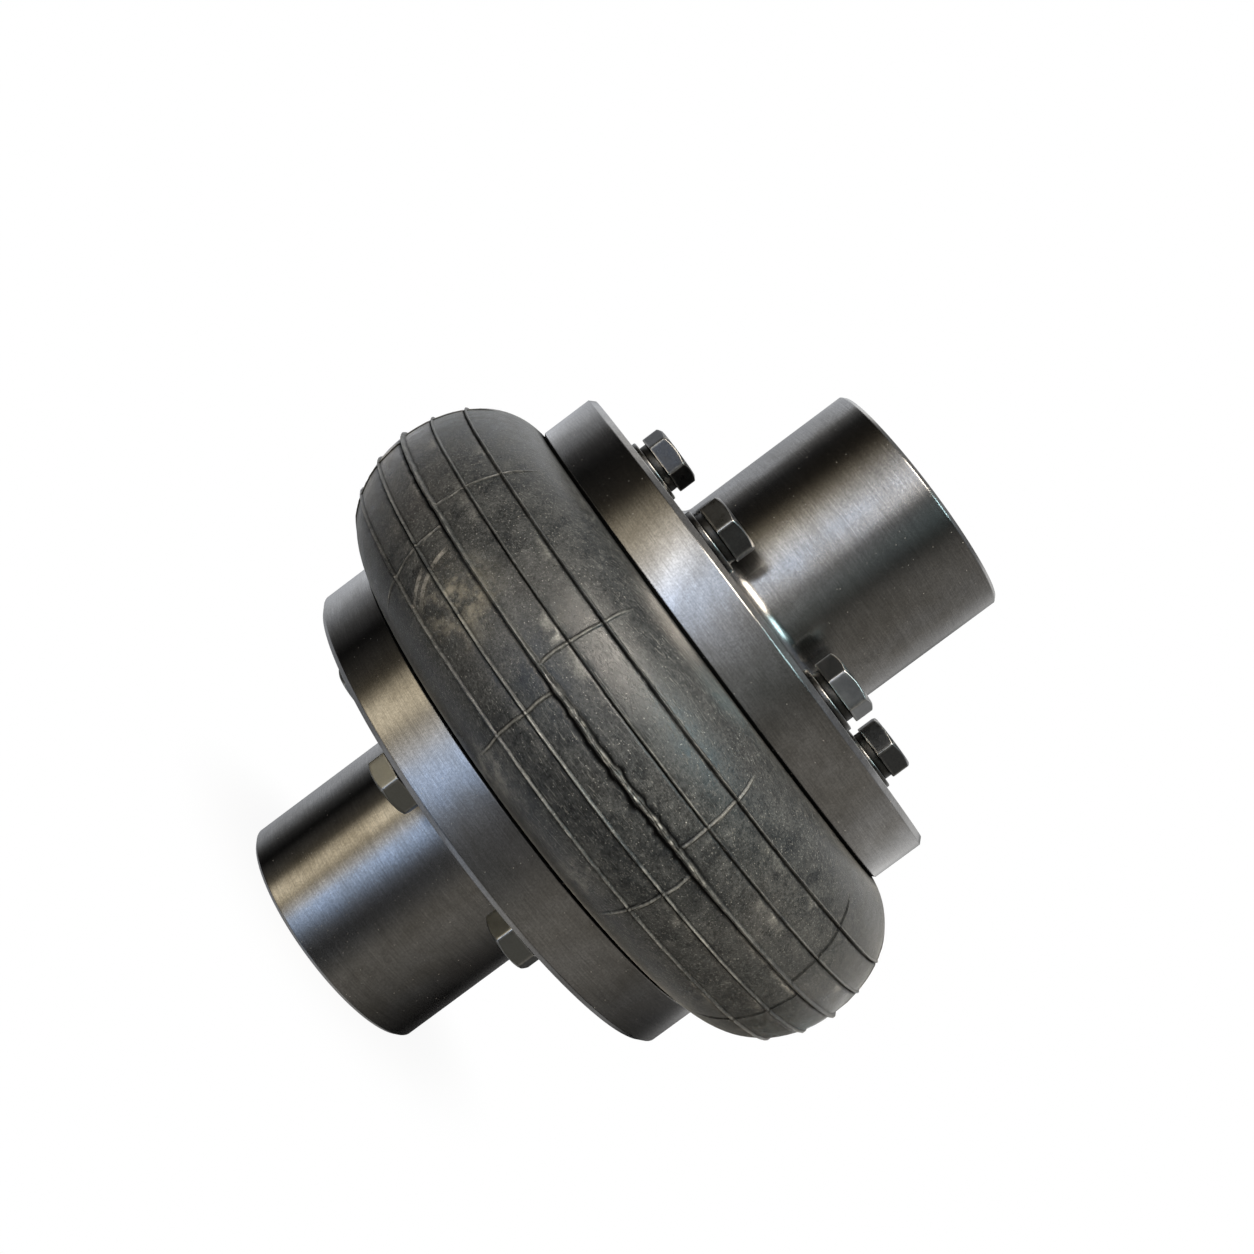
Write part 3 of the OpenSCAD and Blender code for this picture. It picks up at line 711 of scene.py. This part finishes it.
    # Pale tops: rubbed and dusty, and brightened by the grain into painted glints
    worn = add(tree, "ShaderNodeMapRange", {
        "Value": dust.outputs["Fac"], "From Min": 0.38, "From Max": 0.58,
        "To Min": 0.3, "To Max": 1}).outputs[0]
    glint = add(tree, "ShaderNodeMapRange", {
        "Value": grain.outputs["Fac"], "From Min": 0.35, "From Max": 0.6,
        "To Min": 0.6, "To Max": 1.3}).outputs[0]
    worn = add(tree, "ShaderNodeMath", {0: worn, 1: glint}, operation="MULTIPLY").outputs[0]
    top = add(tree, "ShaderNodeMath", {0: crest, 1: worn}, operation="MULTIPLY", use_clamp=True).outputs[0]
    colour = add(tree, "ShaderNodeMix", {
        0: top, 6: colour, 7: linear("#ACA9A1")}, data_type="RGBA").outputs[2]
    rough = add(tree, "ShaderNodeMapRange", {
        "Value": dust.outputs["Fac"], "From Min": 0.35, "From Max": 0.7,
        "To Min": 0.27, "To Max": 0.52}).outputs[0]
    rough = add(tree, "ShaderNodeMath", {0: top, 1: -0.2, 2: rough}, operation="MULTIPLY_ADD").outputs[0]
    relief = add(tree, "ShaderNodeMix", {
        0: 0.5, 2: grain.outputs["Fac"], 3: dust.outputs["Fac"]}).outputs[0]
    relief = add(tree, "ShaderNodeMath", {
        0: scored, 1: 0.8, 2: relief}, operation="MULTIPLY_ADD").outputs[0]
    bump = add(tree, "ShaderNodeBump", {"Strength": 0.8, "Distance": 0.13 * MM, "Height": relief})
    rubber = add(tree, "ShaderNodeBsdfPrincipled", {
        "Base Color": colour, "Roughness": rough, "Normal": bump.outputs[0], "IOR": 1.48,
        "Sheen Weight": 0.36, "Sheen Roughness": 0.22, "Sheen Tint": linear("#D0CFCA")})
    # Near-black matt shader where the mask says: painted shade at the ridge feet, creases, mould lines and
    # seams
    painted_shade = add(tree, "ShaderNodeBsdfDiffuse", {"Color": linear("#090909")})
    both = add(tree, "ShaderNodeMixShader", {0: foot, 1: rubber.outputs[0], 2: painted_shade.outputs[0]})
    add(tree, "ShaderNodeOutputMaterial", {"Surface": both.outputs[0]})
    return material


def plain_paper():
    """Matt white paper. The camera sees it a little grey close to the part, where it is shaded, and white
    everywhere else."""
    material, tree = new_material("matt white paper")
    place = add(tree, "ShaderNodeTexCoord").outputs["Object"]
    flat = add(tree, "ShaderNodeVectorMath", {0: place, 1: (1, 1, 0)}, operation="MULTIPLY").outputs[0]
    away = add(tree, "ShaderNodeVectorMath", {0: flat}, operation="LENGTH").outputs["Value"]
    fade = add(tree, "ShaderNodeMapRange", {
        "Value": away, "From Min": 34 * MM, "From Max": 80 * MM, "To Min": 0.93, "To Max": 1},
        interpolation_type="SMOOTHSTEP").outputs[0]
    seen = add(tree, "ShaderNodeLightPath").outputs["Is Camera Ray"]
    share = add(tree, "ShaderNodeMath", {0: fade, 1: seen}, operation="MULTIPLY").outputs[0]
    paper = add(tree, "ShaderNodeBsdfDiffuse", {"Color": linear("#C8C8C8")})
    glow = add(tree, "ShaderNodeEmission", {"Color": linear("#FFFFFF"), "Strength": 1.0})
    both = add(tree, "ShaderNodeMixShader", {0: share, 1: paper.outputs[0], 2: glow.outputs[0]})
    add(tree, "ShaderNodeOutputMaterial", {"Surface": both.outputs[0]})
    return material


def studio_panels():
    """Wall of white, grey and black panels round the part, some of them tinted warm or cool."""
    material, tree = new_material("studio panels")
    level = add(tree, "ShaderNodeAttribute", attribute_name="level").outputs["Fac"]
    warmth = add(tree, "ShaderNodeAttribute", attribute_name="warmth").outputs["Fac"]
    tint = add(tree, "ShaderNodeValToRGB", {"Fac": warmth}, stops=(
        (0, linear("#B7D0F6")), (1, linear("#FFE6AC")), (0.5, linear("#FFFFFF"))))
    panel = add(tree, "ShaderNodeEmission", {"Color": tint.outputs["Color"], "Strength": level})
    add(tree, "ShaderNodeOutputMaterial", {"Surface": panel.outputs[0]})
    return material


# Studio. Directions are in degrees from the camera's side (-Y) towards -X, seen from above

def toward(turn_deg):
    """Level direction of length 1 that a turn points in."""
    turn = np.radians(turn_deg)
    return np.stack([-np.sin(turn), -np.cos(turn), 0 * turn], -1)


# Panels of the wall: direction; brightness high up, in the middle, low down and lowest, where 1 is white
# and more is brighter; warmth high up and low down, from 0 to 1
PANELS = (
    (-180, 0.3, 0.6, 0.3, 0.1, 0.5, 0.5), (-160, 0.15, 0.4, 0.12, 0.0, 0.5, 0.5),
    (-148, 0.36, 0.7, 0.1, 0.0, 0.5, 0.5), (-128, 0.36, 0.8, 0.0, 0.0, 0.5, 0.5),
    (-112, 0.3, 0.65, 0.03, 0.02, 0.55, 0.55), (-96, 0.26, 0.5, 0.12, 0.03, 0.55, 0.55),
    (-80, 0.22, 0.42, 0.26, 0.05, 0.6, 0.6), (-64, 0.22, 0.33, 0.32, 0.12, 0.6, 0.6),
    (-48, 0.12, 0.34, 0.35, 0.24, 0.6, 0.6), (-32, 0.0, 0.22, 0.22, 0.36, 0.6, 0.6),
    (-20, 0.0, 0.46, 0.04, 0.24, 0.5, 0.55), (-10, 0.0, 0.9, 0.0, 0.07, 0.45, 0.45),
    (0, 0.03, 1.1, 0.02, 0.0, 0.4, 0.35), (10, 0.95, 1.4, 0.3, 0.02, 0.3, 0.1),
    (18, 1.2, 3.0, 1.0, 0.25, 0.2, 0.0), (26, 0.6, 5.2, 1.35, 1.3, 0.2, 0.0),
    (34, 0.22, 5.5, 0.9, 2.6, 0.4, 0.0), (42, 0.14, 5.2, 0.0, 1.6, 0.5, 0.5),
    (50, 0.14, 3.3, 0.05, 0.9, 0.6, 0.85), (58, 0.11, 0.9, 1.9, 1.8, 0.7, 0.8),
    (66, 0.04, 0.15, 1.5, 1.6, 0.8, 0.8), (74, 0.02, 0.03, 0.1, 0.2, 0.8, 0.8),
    (100, 0.03, 0.0, 0.0, 0.0, 0.5, 0.5), (114, 0.18, 0.0, 0.12, 0.02, 0.5, 0.5),
    (124, 0.75, 0.22, 0.35, 0.2, 0.4, 0.4), (136, 0.65, 0.7, 0.75, 0.5, 0.4, 0.4),
    (160, 0.42, 0.6, 0.55, 0.42, 0.4, 0.4), (180, 0.3, 0.6, 0.3, 0.1, 0.5, 0.5),
)


def studio_wall():
    """Upright tube round the part, closed above and below, whose brightness runs from panel to panel.
    Behind the part it grows lighter far up and far down, two strips a little under the tyre light its
    rim, and its ceiling is a little lighter on the right. Only what is mirrored shows it."""
    turns = np.arange(-180, 180, 2.5)
    heights = np.array([-4000, -4000, -1100, -620, -290, -125, 40, 120, 230, 330, 1500, 1900, 1900])
    reach = np.array([0] + [WALL_R] * 11 + [0])
    points = toward(turns)[None] * reach[:, None, None]
    points[..., 2] = heights[:, None]
    stops, *columns = np.array(PANELS).T
    high, middle, low, lowest, warm_high, warm_low = (np.interp(turns, stops, column) for column in columns)
    behind = smooth_step(np.abs(turns), 110, 160)
    ground, above = 0.4 + 0.3 * behind, high.clip(0, 0.5) + behind
    right = np.exp(-((turns + 60) / 50) ** 2)
    ceiling = 0.3 + 0.12 * right
    rim = (low + middle) / 2 + 1.2 * np.exp(-((np.abs(turns) - 149) / 10) ** 2)
    between = 0.25 * middle + 0.75 * high
    levels = [ground, ground, 0.35 * behind, lowest, low, rim, middle, between, high, high + 0.3 * behind]
    levels += [above, ceiling, ceiling]
    cool = 0.5 - 0.3 * right
    warmth = [warm_low] * 5 + [(warm_low + warm_high) / 2] + [warm_high] * 4 + [cool] * 3
    values = {"level": np.stack(levels), "warmth": np.stack(warmth)}
    wall = surface("studio_wall", points, studio_panels(), values=values)
    wall.visible_camera = wall.visible_diffuse = wall.visible_shadow = False


def softbox(name, turn_deg, rise, distance, width, height, radiance, hex_colour, mirrored=True):
    """Rectangular lamp that faces the part. Its power follows from the brightness that its face shows."""
    light = bpy.data.lights.new(name, "AREA")
    light.shape = "RECTANGLE"
    light.size, light.size_y = width * MM, height * MM
    light.energy = radiance * math.pi * light.size * light.size_y
    light.color = linear(hex_colour)[:3]
    lamp = bpy.data.objects.new(name, light)
    place = toward(turn_deg) * distance + (0, 0, rise)
    back = place / np.linalg.norm(place)
    side = np.cross((0, 0, 1), back)
    side /= np.linalg.norm(side)
    turned = Matrix((side, np.cross(back, side), back)).transposed().to_4x4()
    lamp.matrix_world = Matrix.Translation(place * MM) @ turned
    lamp.visible_glossy = mirrored
    bpy.context.scene.collection.objects.link(lamp)


def studio():
    """White floor, mirrored wall, lamps and a world that is white to the camera."""
    scene = bpy.context.scene
    scene.view_settings.view_transform = "Standard"
    corners = np.array([[(-1, -1), (1, -1)], [(-1, 1), (1, 1)]]) * float(FLOOR_HALF)
    points = np.concatenate([corners, np.full((2, 2, 1), -HUB_END)], -1)
    floor = surface("floor", points, plain_paper(), wrap_columns=False)
    floor.visible_glossy = False
    studio_wall()
    softbox("cream_softbox", 22, 640, 700, 440, 480, 14.5, "#FFF5E8")
    softbox("teal_softbox", -18, 760, 680, 300, 400, 12, "#AFD0D8")
    softbox("side_fill", -84, 60, 900, 900, 300, 8.5, "#FFF0DA", mirrored=False)
    world = bpy.data.worlds.new("plain studio")
    scene.world = world
    world.use_nodes = True
    tree = world.node_tree
    tree.nodes.clear()
    path = add(tree, "ShaderNodeLightPath")
    seen = add(tree, "ShaderNodeMath", {0: path.outputs["Is Camera Ray"], 1: path.outputs["Is Glossy Ray"]},
               operation="MAXIMUM").outputs[0]
    seen = add(tree, "ShaderNodeMath", {0: seen, 1: path.outputs["Is Transmission Ray"]},
               operation="MAXIMUM").outputs[0]
    level = add(tree, "ShaderNodeBackground", {"Color": linear("#FFFFFF"), "Strength": 0.35})
    white = add(tree, "ShaderNodeBackground", {"Color": linear("#FFFFFF"), "Strength": 1.0})
    both = add(tree, "ShaderNodeMixShader", {0: seen, 1: level.outputs[0], 2: white.outputs[0]})
    add(tree, "ShaderNodeOutputWorld", {"Surface": both.outputs[0]})


def camera():
    """Camera at the photograph's place: tilted a little down, with the part's axis turned in its picture by
    the roll."""
    data = bpy.data.cameras.new("camera")
    data.lens = CAMERA_LENS
    data.sensor_width = SENSOR_W
    data.clip_start = CLIP_START * MM
    eye = bpy.data.objects.new("camera", data)
    tilt, roll = math.radians(CAMERA_TILT_DEG), math.radians(CAMERA_ROLL_DEG)
    forward = np.array([0, math.cos(tilt), -math.sin(tilt)])
    level_up = np.array([0, math.sin(tilt), math.cos(tilt)])
    right = math.cos(roll) * np.array([1, 0, 0]) + math.sin(roll) * level_up
    up = np.cross(right, forward)
    eye.matrix_world = (Matrix.Translation(np.array(CAMERA_PLACE) * MM)
                        @ Matrix((right, up, -forward)).transposed().to_4x4())
    bpy.context.scene.collection.objects.link(eye)
    bpy.context.scene.camera = eye


# Pieces

def dress_fasteners():
    """Screws, plain washers and spring washers, each at the middle of its own CAD washer."""
    oxide = {
        "deep": blackened_steel("deep black oxide screw steel", ("#292A2D", "#343537"), "#A9A7A2", 0.3),
        "plain": blackened_steel("black oxide screw steel", ("#3C3E41", "#4A4B4C"), "#B9B7B2", 0.3),
        "faded": blackened_steel("faded oxide screw steel", ("#66686A", "#767777"), "#C9C7C2", 0.33),
        "bare": blackened_steel("worn oxide screw steel", ("#6F706B", "#8A8A84"), "#D6D4CE", 0.36)}
    grey = blackened_steel("tumbled washer steel", ("#2C2D2F", "#3A3A3A"), "#8C8A86", 0.28)
    spring = blackened_steel("black spring steel", ("#161616", "#222222"), "#4A4946", 0.4)
    for side, sign in SIDES.items():
        for i in SCREW_NUMBERS:
            low, high = box_mm(f"{side}_washer_{i}")
            middle = (low + high)[:2] / 2
            out_deg = math.degrees(math.atan2(middle[1], middle[0]))
            head_deg = HEAD_TURNS_DEG[side][i - 1]
            slot_deg = out_deg + SLOT_TURNS_DEG[i - 1]
            black = oxide[FADING[side][i - 1]]
            piece = screw(f"{side}_hexagon_screw_{i}", middle, head_deg, sign, black)
            dress(piece, f"{side}_screw_{i}")
            piece = washer(f"{side}_round_washer_{i}", middle, sign, grey)
            dress(piece, f"{side}_washer_{i}")
            piece = spring_washer(f"{side}_split_washer_{i}", middle, slot_deg, sign, spring)
            dress(piece, f"{side}_spring_washer_{i}")


def dress_hubs():
    """The CAD hubs, rings and set screws stay and take their finish."""
    steel = turned_steel()
    dark = blackened_steel("black oxide set screw steel", ("#3C3B3A", "#4C4A47"), "#A8A6A2", 0.36)
    for side in SIDES:
        for kind, material in (("hub", steel), ("clamping_ring", steel), ("set_screw", dark)):
            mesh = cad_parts[f"{side}_{kind}"].data
            mesh.materials.clear()
            mesh.materials.append(material)


def dress_tyre():
    """The CAD tyre gives way to one with its ridges, mould lines and torn flash."""
    dress(tyre(moulded_rubber()), "tyre")


camera()
studio()
dress_hubs()
dress_fasteners()
dress_tyre()
